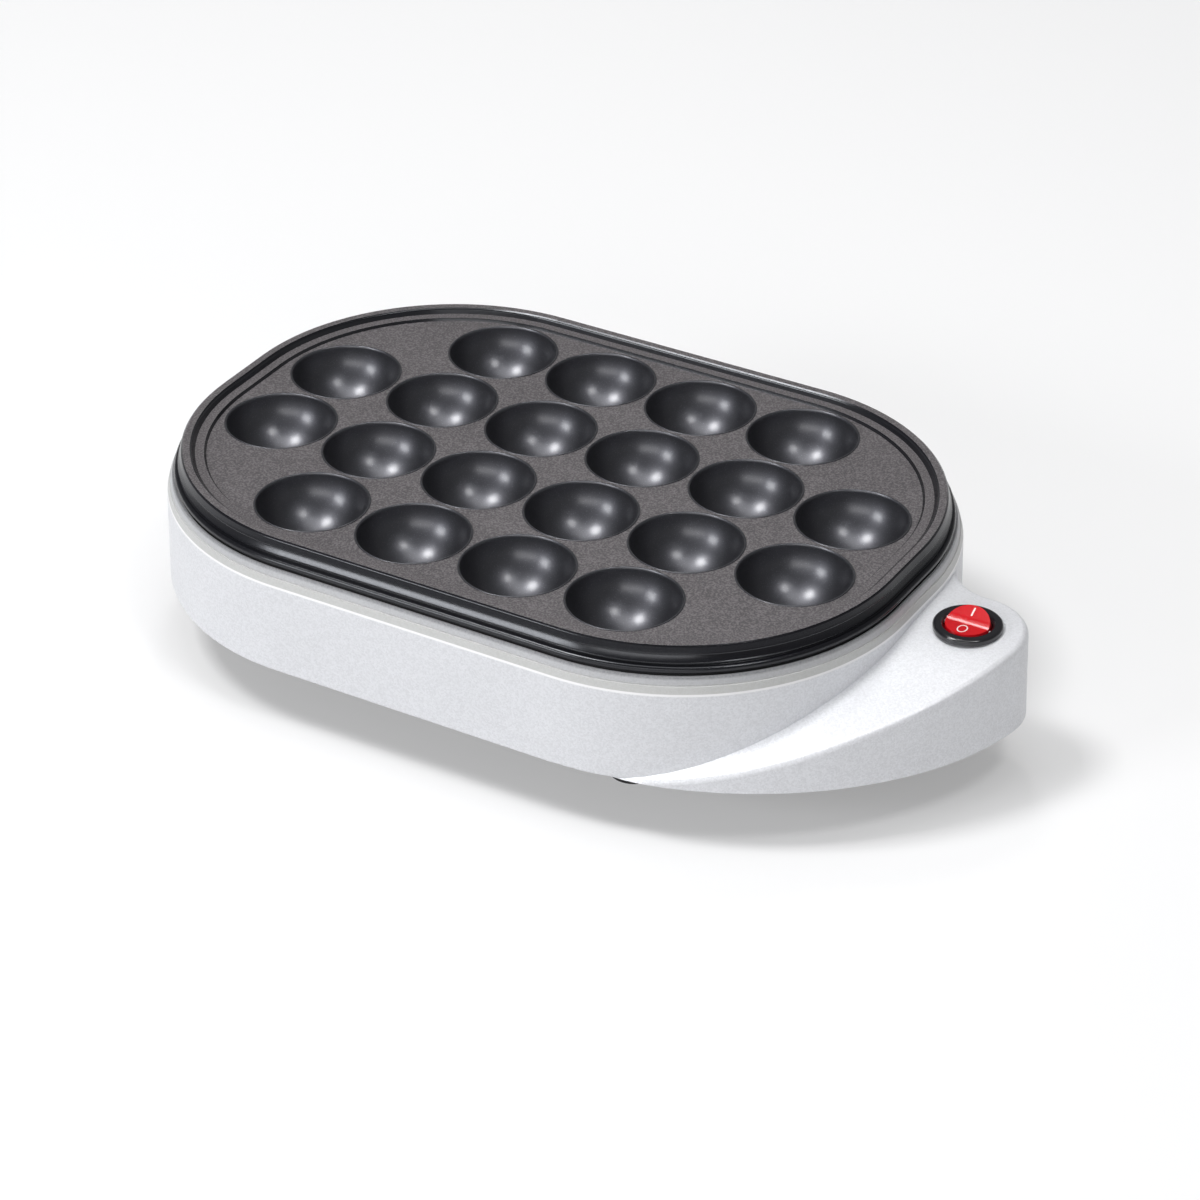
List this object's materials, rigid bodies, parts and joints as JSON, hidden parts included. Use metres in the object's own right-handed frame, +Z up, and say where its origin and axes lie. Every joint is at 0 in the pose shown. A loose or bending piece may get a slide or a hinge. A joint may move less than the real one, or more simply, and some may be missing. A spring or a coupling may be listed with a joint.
{
  "type": "takoyaki maker",
  "caption": "Electric takoyaki maker: an oval cast plate of round batter wells on a pearl-silver housing whose one-sided wing carries a red rocker switch.",
  "frame": {"origin": "on the ground under the middle of the bounding box", "axes": "+X from the far end of the body to the tip of the switch wing, +Y away from the user, +Z up"},
  "size_m": [0.325, 0.2, 0.072],
  "materials": {
    "plate": "die-cast, satin non-stick coating",
    "shell": "satin pearl silver",
    "pan": "fine grain",
    "foot_rubber": "matt",
    "seal": "matt silicone",
    "element": "oxidised sheath",
    "ceramic": "fired ceramic",
    "steel": "zinc plated",
    "sheet": "aluminised sheet",
    "phenolic": "moulded phenolic",
    "glass_sleeve": "braided glass fibre",
    "brass": "stamped",
    "nylon_black": "moulded",
    "nylon_white": "moulded",
    "bezel": "gloss black",
    "rocker": "gloss translucent red",
    "lamp_glass": "clear tube",
    "lead_blue": "silicone insulation",
    "lead_brown": "silicone insulation",
    "lead_white": "silicone insulation",
    "lead_green": "silicone insulation, yellow stripe"
  },
  "bodies": {
    "base": {"base_pan": "pan", "base_screws": "steel", "block_inserts": "brass", "block_screws": "steel", "clamp_screws": "steel", "cord_inlet_bush": "nylon_black", "earth_lead": "lead_green", "earth_screw": "steel", "earth_tag": "brass", "element_clamp_far_back": "steel", "element_clamp_far_front": "steel", "element_clamp_near_back": "steel", "element_clamp_near_front": "steel", "element_pins": "steel", "element_seals": "ceramic", "foot_far_back": "foot_rubber", "foot_far_front": "foot_rubber", "foot_near_back": "foot_rubber", "foot_near_front": "foot_rubber", "foot_screws": "steel", "fuse_clip": "steel", "fuse_lead": "lead_white", "fuse_screw": "steel", "fuse_sleeve": "glass_sleeve", "grill_plate": "plate", "heat_shield": "sheet", "heating_element": "element", "housing_shell": "shell", "lamp_lead": "lead_white", "line_lead": "lead_brown", "load_lead": "lead_white", "mounting_post_far_back": "steel", "mounting_post_far_front": "steel", "mounting_post_near_back": "steel", "mounting_post_near_front": "steel", "neutral_lead": "lead_blue", "pinch_screws": "steel", "post_screws": "steel", "post_washers": "ceramic", "rim_seal": "seal", "switch_base": "nylon_black", "switch_case": "bezel", "terminal_block": "nylon_white", "terminal_lamp": "brass", "terminal_line": "brass", "terminal_load": "brass", "thermal_fuse": "steel", "thermostat": "phenolic", "thermostat_lead": "lead_white", "thermostat_screws": "steel"},
    "rocker": {"switch_rocker": "rocker", "rocker_pin": "steel", "signal_lamp": "lamp_glass", "plunger_spring": "steel"},
    "plunger": {"switch_plunger": "brass"},
    "contact": {"contact_arm": "brass"}
  },
  "joints": [
    {"name": "rocker_tilt", "type": "hinge", "parent": "base", "child": "rocker", "pos_m": [0.141, 0, 0.0546], "axis": [-1, 0, 0], "range_deg": [0, 27]},
    {"name": "plunger_slide", "type": "slide", "parent": "rocker", "child": "plunger", "axis": [0, -0.2334, 0.9724], "range_m": [0, 0.0012], "stiffness_N_per_m": 200, "springref_m": -0.002, "deforming": ["plunger_spring"]},
    {"name": "contact_tilt", "type": "hinge", "parent": "base", "child": "contact", "pos_m": [0.141, 0, 0.04555], "axis": [1, 0, 0], "range_deg": [0, 14]}
  ],
  "couplings": [
    {"joint": "contact_tilt", "follows": "rocker_tilt", "ratio": 0.5185}
  ]
}
